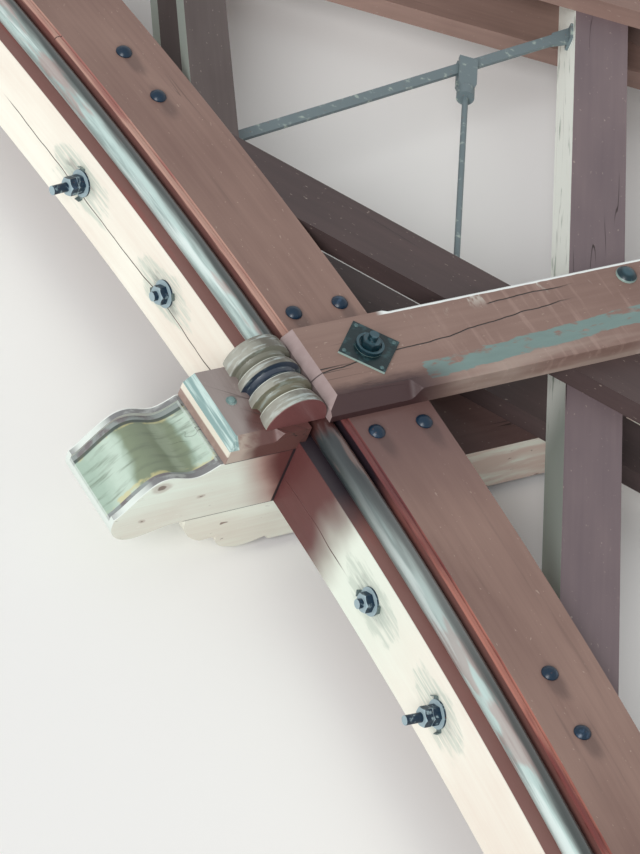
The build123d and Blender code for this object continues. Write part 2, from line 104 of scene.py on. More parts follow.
def linear(text):
    """sRGB hex text to a linear colour with alpha."""
    parts = [int(text[i:i + 2], 16) / 255 for i in (1, 3, 5)]
    return tuple(c / 12.92 if c <= 0.04045 else ((c + 0.055) / 1.055) ** 2.4
                 for c in parts) + (1.0,)


def colour_property(name, text, description):
    return FloatVectorProperty(name=name, subtype="COLOR", size=4, min=0, max=1,
                               default=linear(text), description=description)


def size_property(name, metres, description):
    return FloatProperty(name=name, default=metres, min=0, unit="LENGTH",
                         description=description)


class TrussPaint(bpy.types.PropertyGroup):
    """Colours of the paints and of the iron."""
    brown: colour_property("Brown", "#8f7469", "Red-brown oil paint on the broad faces")
    brown_worn: colour_property("Brown, darkened", "#6f544c", "Where the brown has darkened")
    umber: colour_property("Umber", "#54403e", "Brown paint of the rafters and far planks")
    oxblood: colour_property("Oxblood", "#6b2e2a", "Dark red coat in the rebate and on the bead")
    cream: colour_property("Cream", "#eeece0", "Cream paint under the arch")
    cream_soil: colour_property("Cream, soiled", "#e0d3c6", "Run-off on the cream paint")
    rebate: colour_property("Rebate", "#7e5b55", "Red-brown floor of the rebate")
    bead: colour_property("Bead", "#b08a7c", "Red bead on the arris")
    mint: colour_property("Mint", "#b4c9c5", "Pale green enamel of the round moulding")
    cap_mint: colour_property("Cap chamfer", "#c0d6d1", "Mint paint brushed on the caps' ends")
    head: colour_property("Heads", "#e1ebdf", "Thin greenish white on the sides of the heads")
    hollow: colour_property("Hollows", "#9fb5a6", "Pale green in the heads' hollowed noses")
    teal: colour_property("Teal", "#78908c", "Remains of an older coat on the near planks")
    ring: colour_property("Rings", "#76776d", "Khaki grey enamel on the turned rings")
    navy: colour_property("Navy", "#0f273a", "Blue-black enamel on bolts and nuts")
    plate: colour_property("Plates", "#14272b", "Dark green enamel on the square plates")
    slate: colour_property("Bars", "#6a787c", "Grey enamel on the flat bars and hangers")


class TrussFastenings(bpy.types.PropertyGroup):
    """Sizes of the small fastenings."""
    cap_head: size_property("Cap bolt head", 28 * MM, "Width of the round heads on the caps")
    nail_gap: size_property("Nail spacing", 104 * MM, "From nail to nail on a square plate")
    tab_width: size_property("Tab width", 18 * MM, "Width of the locking tabs under the nuts")


class TrussStage(bpy.types.PropertyGroup):
    """Camera, lamps and floor."""
    lens: FloatProperty(name="Lens", default=192.6, unit="CAMERA",
                        description="Focal length in millimetres")
    sky: FloatProperty(name="Sky", default=0.52, min=0,
                       description="Strength of the soft light all round")
    lamp: FloatProperty(name="Lamp", default=2.2, min=0, description="Strength of the soft lamp")
    floor: colour_property("Floor", "#f7f7f5", "Plain pale floor")


def add(tree, kind, inputs=(), out=0, **settings):
    """Adds a node with its settings and inputs, and gives one of its outputs."""
    node = tree.nodes.new(kind)
    for key, value in settings.items():
        setattr(node, key, value)
    for key, source in (inputs.items() if isinstance(inputs, dict) else enumerate(inputs)):
        if isinstance(source, bpy.types.NodeSocket):
            tree.links.new(source, node.inputs[key])
        else:
            node.inputs[key].default_value = source
    return node.outputs[out]


def coats(tree, base, *layers):
    """Paint coats laid over a base in order, each a (mask, colour) or (mask, colour, strength)."""
    for mask, colour, *strength in layers:
        if strength:
            mask = add(tree, MATH, (mask, strength[0]), operation="MULTIPLY")
        base = add(tree, "ShaderNodeMix", {0: mask, 6: base, 7: colour}, 2, data_type="RGBA")
    return base


def where(tree, *limits):
    """A mask that is 1 where each value has passed from its first limit to its second."""
    mask = None
    for value, start, end in limits:
        step = add(tree, "ShaderNodeMapRange", (value, start, end, 0.0, 1.0),
                   interpolation_type="SMOOTHSTEP")
        mask = step if mask is None else add(tree, MATH, (mask, step), operation="MULTIPLY")
    return mask


def either(tree, *masks):
    """A mask that is as strong as the strongest of several."""
    whole = masks[0]
    for mask in masks[1:]:
        whole = add(tree, MATH, (whole, mask), operation="MAXIMUM")
    return whole


def mottle(tree, vector, size, detail=4.0, seed=0.0):
    """Noise with features of this size in millimetres along each axis. A pixel of the render is
    2.5 mm wide, so bristle marks and grain, under 2 mm in real paint and wood, are drawn 8 to
    14 mm wide, as coarse as they need to show."""
    scaled = add(tree, "ShaderNodeMapping", {0: vector, "Scale": tuple(1000 / s for s in size),
                                             "Location": (seed, seed * 1.7, seed * 0.6)})
    return add(tree, "ShaderNodeTexNoise", {"Vector": scaled, "Scale": 1.0, "Detail": detail,
                                            "Roughness": 0.55})


def timber_coords(tree, degrees=0.0, hand=1):
    """Metres along, across and through a board at this angle on the right or left half."""
    raw = add(tree, "ShaderNodeTexCoord", out=3)
    raised = add(tree, VECTOR_MATH, (raw, (0.0, MID_Y, 0.0)), operation="ADD")
    sided = add(tree, VECTOR_MATH, (raised, (float(hand), 1.0, 1.0)), operation="MULTIPLY")
    vector = add(tree, "ShaderNodeVectorRotate",
                 {"Vector": sided, "Angle": math.radians(-degrees)}, rotation_type="Z_AXIS")
    return vector, *add(tree, "ShaderNodeSeparateXYZ", (vector,)).node.outputs


def arch_coords(tree):
    """Metres along the arch from the springing line, out from its centre and through it."""
    _, x, y, z = timber_coords(tree)
    x = add(tree, MATH, (x,), operation="ABSOLUTE")
    flat = add(tree, "ShaderNodeCombineXYZ", (x, y))
    radius = add(tree, VECTOR_MATH, (flat,), 1, operation="LENGTH")
    turn = add(tree, MATH, (y, x), operation="ARCTAN2")
    along = add(tree, MATH, (turn, R_IN), operation="MULTIPLY")
    return add(tree, "ShaderNodeCombineXYZ", (along, radius, z)), along, radius, z


def clasp_lag(tree, along):
    """Metres up the arch from the axis of the nearest clasp."""
    at = [math.radians(degrees) * R_IN for degrees in CLASPS.values()]
    middle = add(tree, MATH, (along, (at[0] + at[1]) / 2), operation="GREATER_THAN")
    upper = add(tree, MATH, (along, (at[1] + at[2]) / 2), operation="GREATER_THAN")
    nearest = add(tree, MATH, (middle, at[1] - at[0], at[0]), operation="MULTIPLY_ADD")
    nearest = add(tree, MATH, (upper, at[2] - at[1], nearest), operation="MULTIPLY_ADD")
    return add(tree, MATH, (along, nearest), operation="SUBTRACT")


def away_from(tree, flat, spot, squeeze):
    """Metres from a spot, with each axis squeezed so that a patch round it comes out longer."""
    off = add(tree, VECTOR_MATH, (flat, (*spot, 0.0)), operation="SUBTRACT")
    off = add(tree, VECTOR_MATH, (off, (*squeeze, 0.0)), operation="MULTIPLY")
    return add(tree, VECTOR_MATH, (off,), 1, operation="LENGTH")


def facing(tree, degrees=0.0, hand=1):
    """How far the surface faces along, across and up through a board at this angle."""
    normal = add(tree, "ShaderNodeNewGeometry", out=1)
    a = math.radians(degrees)
    ways = ((math.cos(a) * hand, math.sin(a), 0), (-math.sin(a) * hand, math.cos(a), 0),
            (0, 0, 1))
    return [add(tree, VECTOR_MATH, (normal, way), 1, operation="DOT_PRODUCT") for way in ways]


def grain_cracks(tree, vector, seed=0.0, amount=0.58):
    """Thin drying cracks along the grain, gathered in places."""
    lines = mottle(tree, vector, (1300, 60, 60), 2.0, seed=seed)
    off = add(tree, MATH, (lines, 0.5), operation="SUBTRACT")
    off = add(tree, MATH, (off,), operation="ABSOLUTE")
    gathered = mottle(tree, vector, (700, 160, 160), 2.0, seed=seed + 4.0)
    return where(tree, (off, 0.006, 0.0015), (gathered, amount, amount + 0.08))


def brushed_paint(tree, vector, fresh, worn, seed=0.0, dust="#d8c8bb"):
    """Old oil paint brushed along softwood: cloudy patches, brush streaks and pale dust specks."""
    cloud = where(tree, (mottle(tree, vector, (750, 260, 260), seed=seed), 0.3, 0.72))
    streak = mottle(tree, vector, (420, 14, 14), 5.0, seed=seed + 9.0)
    lean = add(tree, MATH, (streak, 0.7, -0.35), operation="MULTIPLY_ADD")
    mixed = add(tree, MATH, (cloud, 0.75, lean), operation="MULTIPLY_ADD", use_clamp=True)
    specks = where(tree, (mottle(tree, vector, (16, 8, 8), 2.0, seed=seed + 2.0), 0.68, 0.78))
    return coats(tree, fresh, (mixed, worn), (specks, linear(dust), 0.3)), streak


def start_material(name, roughness):
    material = bpy.data.materials.new(name)
    material.use_nodes = True
    tree = material.node_tree
    shader = tree.nodes["Principled BSDF"]
    shader.inputs["Roughness"].default_value = roughness
    return material, tree, shader


def finish_material(tree, shader, colour, height, depth=1.5):
    """Joins the colour, and a relief of this depth in millimetres, to the shader."""
    tree.links.new(colour, shader.inputs["Base Color"])
    relief = add(tree, "ShaderNodeBump", {"Height": height, "Distance": depth * MM})
    tree.links.new(relief, shader.inputs["Normal"])


def timber_relief(tree, streak, crack):
    """Brush marks with open cracks."""
    marks = add(tree, MATH, (streak, 0.3), operation="MULTIPLY")
    return add(tree, MATH, (crack, -1.0, marks), operation="MULTIPLY_ADD")


def oiled_board(name, degrees, hand, fresh, worn, seed=0.0, edge=None):
    """Sawn softwood under old oil paint laid on by brush: satin and cloudy, with streaks and
    drying cracks along the grain.

    edge is the paler colour on the inner side of a post or strut."""
    material, tree, shader = start_material(name, 0.6)
    vector, along, _, _ = timber_coords(tree, degrees, hand)
    colour, streak = brushed_paint(tree, vector, fresh, worn, seed)
    if edge is not None:
        # painted shade: the lower end is in the shade of the near plank, so its pale side is
        # painted greyer
        shaded_from, shaded_to = 7.6, 7.3
        rubbed = mottle(tree, vector, (220, 30, 30), seed=seed + 3)
        edge = coats(tree, edge,
                     (where(tree, (along, shaded_from, shaded_to)), linear("#9aa39b")),
                     (where(tree, (rubbed, 0.56, 0.7)), linear("#9aa698")))
        side = facing(tree, degrees, hand)[1]
        colour = coats(tree, colour, (where(tree, (side, 0.5, 0.8)), edge))
    crack = grain_cracks(tree, vector, seed)
    colour = coats(tree, colour, (crack, linear("#2a1d1b")))
    finish_material(tree, shader, colour, timber_relief(tree, streak, crack))
    return material


def rib_coats(paint):
    """Softwood rib under brushed oil paint, with each face in its own coat: cream under the arch,
    red-brown in the rebate, red on the bead and brown on the face. It gives satin colours with
    run-off round the bolts; beside each clasp, dark red spray over them all with painted shade on
    the cream, the face and the rebate; and a painted shadow beside each domed bolt."""
    material, tree, shader = start_material("rib_oil_paint", 0.5)
    vector, along, radius, z = arch_coords(tree)
    brown, streak = brushed_paint(tree, vector, paint.brown, paint.brown_worn, 1.0)
    cream, _ = brushed_paint(tree, vector, paint.cream, paint.cream_soil, 3.0, "#ffffff")
    edge = mottle(tree, vector, (90, 40, 40), seed=6.0)
    soft = mottle(tree, vector, (200, 140, 140), 2.0, seed=16.0)

    # the dark red spray with its painted shade, and the painted shade on the face, end on a cloudy
    # line, mostly on the clasp's lower side
    lag = clasp_lag(tree, along)
    cloudy = add(tree, MATH, (soft, 0.12, lag), operation="MULTIPLY_ADD")
    # dark: dark red spray with painted shade on the cream, and painted shade in the rebate, beside
    # each clasp
    dark = where(tree, (cloudy, -0.4, -0.24), (cloudy, 0.22, 0.16))
    cool = where(tree, (cloudy, -0.9, -0.4), (cloudy, 0.22, 0.16))
    # painted shade on the brown face beside each clasp, under the planks
    face_shade = where(tree, (cloudy, -0.5, -0.1), (cloudy, 0.22, 0.12))

    # torn patches and run-off round the nuts, and a painted shadow beside each domed bolt
    patches, runs, dome_shadows = [], [], []
    inner_face = add(tree, "ShaderNodeCombineXYZ", (lag, z))
    for turn in NUT_TURNS:
        away = away_from(tree, inner_face, (math.radians(turn) * R_IN, NUT_Z), (0.5, 1.0))
        torn = add(tree, MATH, (edge, 0.08, away), operation="MULTIPLY_ADD")
        patches.append(where(tree, (torn, 0.112, 0.098)))
        runs.append(where(tree, (torn, 0.09, 0.055)))
    near_face = add(tree, "ShaderNodeCombineXYZ", (lag, radius))
    for turn, out in DOMES:
        spot = (math.radians(turn) * R_IN - 30 * MM, R_IN + (out + 6) * MM)
        away = away_from(tree, near_face, spot, (0.55, 1.3))
        torn = add(tree, MATH, (edge, 0.04, away), operation="MULTIPLY_ADD")
        dome_shadows.append(where(tree, (torn, 0.062, 0.035)))
    brushed = where(tree, (mottle(tree, vector, (130, 8, 8), seed=26.0), 0.34, 0.6))
    patch = add(tree, MATH, (either(tree, *patches), brushed), operation="MULTIPLY")
    scratched = where(tree, (mottle(tree, vector, (50, 10, 10), seed=22.0), 0.5, 0.62))

    # an open seam wanders along the cream face
    wavy = add(tree, MATH, (soft, 0.03, z), operation="MULTIPLY_ADD")
    seam_z = Z_FACE - 162 * MM
    seam = where(tree, (wavy, seam_z - 2.2 * MM, seam_z - 0.8 * MM),
                 (wavy, seam_z + 2.2 * MM, seam_z + 0.8 * MM),
                 (mottle(tree, vector, (900, 900, 900), 1.0, seed=2.5), 0.42, 0.46))
    run_off = coats(tree, linear("#a9b4aa"), (scratched, linear("#5d6461")))
    # dark red spray with painted shade, for the cream beside each clasp
    spray_and_shade = coats(tree, linear("#5f3434"), (edge, linear("#4c2624"), 0.6))
    cream = coats(tree, cream, (cool, linear("#d9e6da"), 0.7), (patch, linear("#b9c4b8"), 0.7),
                  (either(tree, *runs), run_off, 0.6), (seam, linear("#4a4038")),
                  (dark, spray_and_shade))

    red = mottle(tree, vector, (500, 60, 60), seed=12.0)
    # painted shade: the rebate goes near black beside each clasp
    floor = coats(tree, paint.rebate, (where(tree, (red, 0.5, 0.68)), linear("#8a5650")),
                  (edge, paint.oxblood, 0.35), (dark, linear("#17151f"), 0.95))
    haunch = math.radians(CLASPS["haunch"]) * R_IN
    lower = where(tree, (along, haunch + 0.25, haunch - 0.1))
    old_red = coats(tree, linear("#a56a5c"), (where(tree, (red, 0.46, 0.6)), paint.oxblood))
    butt = where(tree, (lag, BEAD_JOINT - 1.8 * MM, BEAD_JOINT - 1 * MM),
                 (lag, BEAD_JOINT + 1.8 * MM, BEAD_JOINT + 1 * MM))
    by_clasp = where(tree, (cloudy, -0.75, -0.25), (cloudy, 0.22, 0.16))
    beading = coats(tree, paint.bead, (where(tree, (red, 0.48, 0.62)), linear("#96625a")),
                    (lower, old_red), (by_clasp, linear("#552427"), 0.8),
                    (butt, linear("#2a1a18")))

    under = where(tree, (radius, R_IN + 2.2 * MM, R_IN + 1.4 * MM))
    in_rebate = where(tree, (radius, REBATE_R + 1 * MM, REBATE_R + 0.4 * MM),
                      (z, Z_FACE - 53 * MM, Z_FACE - 52 * MM))
    on_bead = where(tree, (radius, BEAD_R, BEAD_R - 0.5 * MM),
                    (radius, REBATE_R - 0.3 * MM, REBATE_R + 0.2 * MM),
                    (z, Z_FACE - 9 * MM, Z_FACE - 8 * MM))
    long_stain = where(tree, (mottle(tree, vector, (600, 34, 34), seed=41.0), 0.6, 0.76))
    crack = add(tree, MATH, (grain_cracks(tree, vector, 2.0, 0.68), 0.7), operation="MULTIPLY")
    open_seam = add(tree, MATH, (seam, 0.8), operation="MULTIPLY")
    colour = coats(tree, brown, (long_stain, linear("#5b4640"), 0.45),
                   (face_shade, linear("#5a3f3e"), 0.8),
                   (either(tree, *dome_shadows), linear("#3f2e2c"), 0.5), (in_rebate, floor),
                   (on_bead, beading), (under, cream), (crack, linear("#2c1f1c")))
    finish_material(tree, shader, colour,
                    timber_relief(tree, streak, either(tree, crack, open_seam)))
    return material


def roll_enamel(paint):
    """Gloss enamel brushed along a softwood moulding. It gives a smooth sheen, mint on the inner
    side with a painted highlight, grey where it is rubbed, painted shade beside the bead and below
    each clasp, where it meets dark red spray, and old red in long patches."""
    material, tree, shader = start_material("round_moulding_enamel", 0.3)
    vector, along, radius, _ = arch_coords(tree)
    long = mottle(tree, vector, (420, 30, 30), seed=5.0)
    fine = mottle(tree, vector, (160, 12, 12), seed=15.0)
    sway = add(tree, MATH, (long, 0.03, radius), operation="MULTIPLY_ADD")
    sway = add(tree, MATH, (fine, 0.014, sway), operation="MULTIPLY_ADD")
    inner = R_IN + 22 * MM
    # painted light across the moulding: a lighter mint on the inner side as a painted highlight,
    # and painted shade beside the bead
    mint = where(tree, (sway, inner + 60 * MM, inner + 46 * MM))
    shaded = where(tree, (sway, inner + 52 * MM, inner + 68 * MM))
    red = where(tree, (mottle(tree, vector, (300, 50, 50), 3.0, seed=8.0), 0.54, 0.62))
    # shine: a painted highlight along the inner side
    shine = where(tree, (mottle(tree, vector, (500, 24, 24), seed=25.0), 0.5, 0.62),
                  (sway, inner + 26 * MM, inner + 34 * MM),
                  (sway, inner + 52 * MM, inner + 44 * MM))
    rubbed = where(tree, (long, 0.48, 0.6))
    lag = add(tree, MATH, (long, 0.1, clasp_lag(tree, along)), operation="MULTIPLY_ADD")
    greyed = where(tree, (lag, -1.0, -0.65), (lag, 0.1, 0.05))
    # painted shade, near black with red patches, below each clasp
    roll_shade = where(tree, (lag, -0.6, -0.2), (lag, 0.1, 0.05))
    # dark red spray with painted shade just below each clasp
    spray_and_shade = where(tree, (lag, -0.12, -0.08), (lag, 0.1, 0.05))
    inner_coat = coats(tree, paint.mint, (rubbed, linear("#768886"), 0.6))
    black = coats(tree, linear("#131c21"), (red, linear("#6d544e"), 0.8))
    colour = coats(tree, linear("#87928f"), (mint, inner_coat), (red, linear("#a37e79"), 0.55),
                   (shine, linear("#e0ebe8"), 0.6), (shaded, linear("#2c3433"), 0.95),
                   (greyed, linear("#7f8482"), 0.4), (roll_shade, black, 0.93),
                   (spray_and_shade, linear("#43221f"), 0.85))
    finish_material(tree, shader, colour, fine, 0.8)
    shader.inputs["Coat Weight"].default_value = 0.3
    shader.inputs["Coat Roughness"].default_value = 0.2
    return material


def plank_coats(name, degrees, hand, paint):
    """A softwood plank's oil paint, brushed along it: satin brown with dust runs, a dark red lower
    side with painted shade over the rib, a painted highlight along the top arris past the rib, a
    torn strip of an older teal coat, and two long drying cracks."""
    material, tree, shader = start_material(name, 0.55)
    vector, along, across, _ = timber_coords(tree, degrees, hand)
    colour, streak = brushed_paint(tree, vector, linear("#8b7268"), paint.brown_worn, degrees)
    outward, _, up = facing(tree, degrees, hand)
    on_top = (up, 0.5, 0.8)
    past_rib = (along, R_OUT, R_OUT + 0.1)
    edge = mottle(tree, vector, (60, 16, 16), seed=2.0)
    runs = where(tree, (mottle(tree, vector, (26, 260, 60), seed=4.0), 0.52, 0.7),
                 (along, R_OUT, R_OUT + 0.15))

    # the teal strip drifts a little across the board, and its ends are ragged
    slant, strip_mid, strip_half = -0.05, -0.72, 29 * MM
    drift = add(tree, MATH, (along, slant, across), operation="MULTIPLY_ADD")
    ragged = add(tree, MATH, (edge, 0.022, drift), operation="MULTIPLY_ADD")
    torn_end = add(tree, MATH, (edge, 0.03, along), operation="MULTIPLY_ADD")
    strip = where(tree, (ragged, strip_mid - strip_half, strip_mid - strip_half + 3 * MM),
                  (ragged, strip_mid + strip_half, strip_mid + strip_half - 3 * MM),
                  (torn_end, R_OUT + 15 * MM, R_OUT + 20 * MM), on_top)
    torn = where(tree, (mottle(tree, vector, (90, 30, 30), seed=21.0), 0.36, 0.46))
    strip = add(tree, MATH, (strip, torn), operation="MULTIPLY")

    # each long crack: its slope, a point on it, where it starts and ends, and its wobble's seed
    cracks = []
    for slope, at, level, first, last, seed in (
            (0.083, 12.93, 0.0, R_IN, R_IN + 0.95, 3.0),
            (0.036, 13.4, 88 * MM, R_OUT + 0.29, R_OUT + 0.6, 5.0)):
        wobble = mottle(tree, vector, (160, 400, 400), 3.0, seed=seed)
        line = add(tree, MATH, (wobble, 0.03, across), operation="MULTIPLY_ADD")
        line = add(tree, MATH, (along, -slope, line), operation="MULTIPLY_ADD")
        here = level - slope * at + 15 * MM
        width = 2.4 * MM
        cracks.append(where(tree, (line, here - width, here - width / 3),
                            (line, here + width, here + width / 3),
                            (along, first, first + 0.02), (along, last, last - 0.1), on_top))
    off_end = where(tree, (outward, -0.6, -0.3))
    checks = add(tree, MATH, (grain_cracks(tree, vector, degrees, 0.6), off_end),
                 operation="MULTIPLY")
    crack = either(tree, checks, *cracks)

    cloud = add(tree, MATH, (edge, 0.03, across), operation="MULTIPLY_ADD")
    # painted shade: the lower side over the rib goes near black-red
    dark = where(tree, (cloud, -0.035, -0.085), (along, R_OUT + 0.12, R_OUT - 0.06))
    pale = where(tree, (mottle(tree, vector, (500, 90, 90), 3.0, seed=17.0), 0.36, 0.56),
                 (cloud, -0.05, -0.095), past_rib)
    end = where(tree, (outward, -0.3, -0.6), (along, R_IN + 0.12, R_IN + 0.11))
    # painted highlight: a thin lit line along the top arris past the rib (worn carries its wobble)
    worn = add(tree, MATH, (edge, 0.006, across), operation="MULTIPLY_ADD")
    top_arris = where(tree, (worn, 0.1215, 0.1235), (along, R_OUT - 0.03, R_OUT))
    drips = where(tree, (mottle(tree, vector, (30, 90, 30), 3.0, seed=8.0), 0.6, 0.68),
                  (across, 0.07, 0.125), past_rib)
    teal = coats(tree, paint.teal, (edge, linear("#5c6f6d"), 0.5))
    end_coat = coats(tree, linear("#94807f"), (edge, linear("#b0a09d"), 0.6))
    colour = coats(tree, colour, (runs, linear("#a88f85"), 0.4), (pale, linear("#b3a398"), 0.55),
                   (strip, teal), (dark, linear("#2f161a"), 0.95), (end, end_coat),
                   (drips, linear("#dcdcd2"), 0.6), (top_arris, linear("#eef4f2")),
                   (crack, linear("#1f1716")))
    finish_material(tree, shader, colour, timber_relief(tree, streak, crack), 2.0)
    return material


def head_coats(name, degrees, hand, shift, paint):
    """Carved softwood under thin brushed enamel: greenish white with knots showing through on the
    sides, mauve rims with a painted highlight on their outer arrises, and a hollow streaked mint
    and khaki that shows its yellow ground at the edges, with painted shade in its khaki band and
    under its far rim and painted highlights in its paler bands."""
    material, tree, shader = start_material(name, 0.45)
    vector, along, across, z = timber_coords(tree, degrees, hand)
    across = add(tree, MATH, (across, shift), operation="ADD")
    outward, _, up = facing(tree, degrees, hand)
    side, streak = brushed_paint(tree, vector, paint.head, linear("#cfc6b9"), 2.0, "#ffffff")
    soft = mottle(tree, vector, (160, 90, 90), 2.0, seed=1.0)
    edge = mottle(tree, vector, (70, 30, 30), seed=7.0)
    grain = mottle(tree, vector, (260, 9, 9), seed=13.0)

    # the clasp's dark red spray with painted shade reaches further out on the near side
    reach = add(tree, MATH, (soft, 0.06, along), operation="MULTIPLY_ADD")
    reach = add(tree, MATH, (z, 0.46, reach), operation="MULTIPLY_ADD")
    dusky = where(tree, (reach, R_IN, R_IN + 0.13))
    dark = where(tree, (reach, R_IN + 0.09, R_IN + 0.16))

    # knots: small ones anywhere, and three in their places with a halo round each
    bent_along = add(tree, MATH, (edge, 0.03, along), operation="MULTIPLY_ADD")
    bent_z = add(tree, MATH, (grain, 0.02, z), operation="MULTIPLY_ADD")
    place = add(tree, "ShaderNodeCombineXYZ", (bent_along, bent_z))
    halos = []
    knots = [where(tree, (mottle(tree, vector, (46, 15, 15), 3.0, seed=31.0), 0.7, 0.75))]
    for back, down, size in KNOTS:
        away = away_from(tree, place, (R_IN - back * MM, Z_FACE - down * MM), (0.6, 1.0))
        halos.append(where(tree, (away, size * MM, 0.55 * size * MM)))
        knots.append(where(tree, (away, 0.4 * size * MM, 0.25 * size * MM)))
    side = coats(tree, side, (where(tree, (grain, 0.6, 0.72)), linear("#9c8a80"), 0.3),
                 (either(tree, *halos), linear("#a28f84"), 0.5),
                 (either(tree, *knots), linear("#5d463c"), 0.8),
                 (dusky, linear("#a98980")), (dark, linear("#5e3634")))

    # the hollow's bands of painted shade and painted highlight lie across it at these distances
    # from the cap's end
    distance = add(tree, MATH, (across,), operation="ABSOLUTE")
    rim_at = HEAD_HALF - RIM
    ripple = mottle(tree, vector, (90, 120, 90), 3.0, seed=9.0)
    drift = add(tree, MATH, (ripple, 0.08, along), operation="MULTIPLY_ADD")
    start = CAP_END + 0.04
    # painted shade in the khaki band in the hollow's middle
    khaki = where(tree, (drift, start - 0.22, start - 0.185),
                  (drift, start - 0.035, start - 0.055))
    # painted highlights near the tip and near the riser, and a fainter one in the middle (faint)
    gleam = either(tree, where(tree, (drift, start - 0.265, start - 0.23),
                               (drift, start - 0.19, start - 0.22)),
                   where(tree, (drift, start - 0.045, start - 0.03)))
    faint = where(tree, (drift, start - 0.12, start - 0.1), (drift, start - 0.06, start - 0.09))
    worn = where(tree, (mottle(tree, vector, (110, 14, 110), seed=5.0), 0.48, 0.72))
    spill = add(tree, MATH, (edge, 26 * MM, distance), operation="MULTIPLY_ADD")
    spilled = where(tree, (spill, rim_at - 15 * MM, rim_at - 8 * MM), (edge, 0.42, 0.58))
    # painted shade: a dark band under the far rim
    far_band = where(tree, (across, rim_at - 25 * MM, rim_at - 21 * MM))
    # the rims' paint runs on over the edge of the hollow
    painted_rim = where(tree, (distance, rim_at - 14.5 * MM, rim_at - 13 * MM))
    rim_coat = coats(tree, linear("#8b9391"),
                     (where(tree, (edge, 0.46, 0.64)), linear("#726d6f")))
    green = coats(tree, paint.hollow, (khaki, linear("#717a60"), 0.85),
                  (gleam, linear("#cfdfd2"), 0.5), (faint, linear("#b9c7b4"), 0.3),
                  (worn, linear("#626c5c"), 0.6), (spilled, linear("#c9c08c"), 0.7),
                  (far_band, linear("#353f3f"), 0.9), (painted_rim, rim_coat))

    hollow = where(tree, (distance, rim_at + 0.6 * MM, rim_at - 0.2 * MM),
                   (along, CAP_END, CAP_END - 9 * MM), (up, -0.1, 0.1))
    top = where(tree, (up, 0.15, 0.4))
    # painted highlight along the rims' outer arrises
    arris = where(tree, (distance, HEAD_HALF - 3.5 * MM, HEAD_HALF - 1.5 * MM))
    rims = coats(tree, linear("#797a7b"), (where(tree, (edge, 0.5, 0.64)), linear("#a5a9a7")),
                 (arris, linear("#e6ece6")))
    end = where(tree, (outward, -0.6, -0.85))
    seams = either(tree, where(tree, (z, Z_BACK + 2.5 * MM, Z_BACK + 1 * MM),
                               (along, R_IN - 0.28, R_IN - 0.265)),
                   where(tree, (z, Z_FACE - 73 * MM, Z_FACE - 71.5 * MM),
                         (along, CAP_END, CAP_END + 5 * MM)),
                   where(tree, (along, R_IN - 11 * MM, R_IN - 8 * MM)))
    crack = grain_cracks(tree, vector, 5.0, 0.6)
    colour = coats(tree, side, (top, rims), (end, linear("#d9e2dc")), (hollow, green),
                   (seams, linear("#17161c"), 0.95), (crack, linear("#3a2b26"), 0.8))
    finish_material(tree, shader, colour, timber_relief(tree, streak, crack))
    return material


def cap_coats(paint):
    """Planed softwood caps under brushed oil paint: a satin grey-brown top, a mint chamfer across
    the end over a pink-brown riser with a pale strip of painted highlight, and dark red beside the
    clasp."""
    material, tree, shader = start_material("cap_oil_paint", 0.42)
    vector, along, radius, z = arch_coords(tree)
    raw = timber_coords(tree)[0]
    colour, streak = brushed_paint(tree, vector, linear("#968c88"), linear("#756460"), 4.0)
    up = facing(tree)[2]
    edge = mottle(tree, raw, (50, 20, 20), seed=3.0)
    inner = where(tree, (radius, CAP_END + 32 * MM, CAP_END + 28 * MM))
    front = where(tree, (radius, CAP_END + 6 * MM, CAP_END + 4 * MM))
    chamfer = where(tree, (up, 0.3, 0.5), (up, 0.95, 0.85))
    across_end = add(tree, MATH, (inner, chamfer), operation="MULTIPLY")
    brushed = mottle(tree, vector, (160, 9, 9), seed=3.0)
    mint = coats(tree, linear("#84a09e"), (where(tree, (brushed, 0.42, 0.66)), paint.cap_mint))
    # painted highlight: a pale strip across the riser
    strip = where(tree, (z, Z_FACE - 48 * MM, Z_FACE - 43 * MM), (front, 0.4, 0.6))
    riser = coats(tree, linear("#b8aa9e"), (front, linear("#9d857c")),
                  (where(tree, (edge, 0.44, 0.74)), linear("#b39d92"), 0.5),
                  (strip, linear("#e9e3d4")))
    side_chamfer = coats(tree, linear("#a79a8e"),
                         (where(tree, (edge, 0.45, 0.7)), linear("#8d776e")))

    # the dark red ends on a line that slants down the cap from the clasp
    slant = -0.9
    soft = mottle(tree, raw, (90, 90, 90), 2.0, seed=1.0)
    reach = add(tree, MATH, (soft, 0.08, radius), operation="MULTIPLY_ADD")
    low = add(tree, MATH, (reach, slant, clasp_lag(tree, along)), operation="MULTIPLY_ADD")
    dark = where(tree, (low, slant * R_IN + 0.06, slant * R_IN - 0.02),
                 (reach, R_IN - 0.13, R_IN - 0.07))
    crack = grain_cracks(tree, raw, 9.0, 0.6)
    colour = coats(tree, colour, (where(tree, (up, 0.5, 0.2)), riser), (chamfer, side_chamfer),
                   (across_end, mint), (dark, linear("#55302d"), 0.95),
                   (crack, linear("#3a2b26")))
    finish_material(tree, shader, colour, timber_relief(tree, streak, crack))
    return material


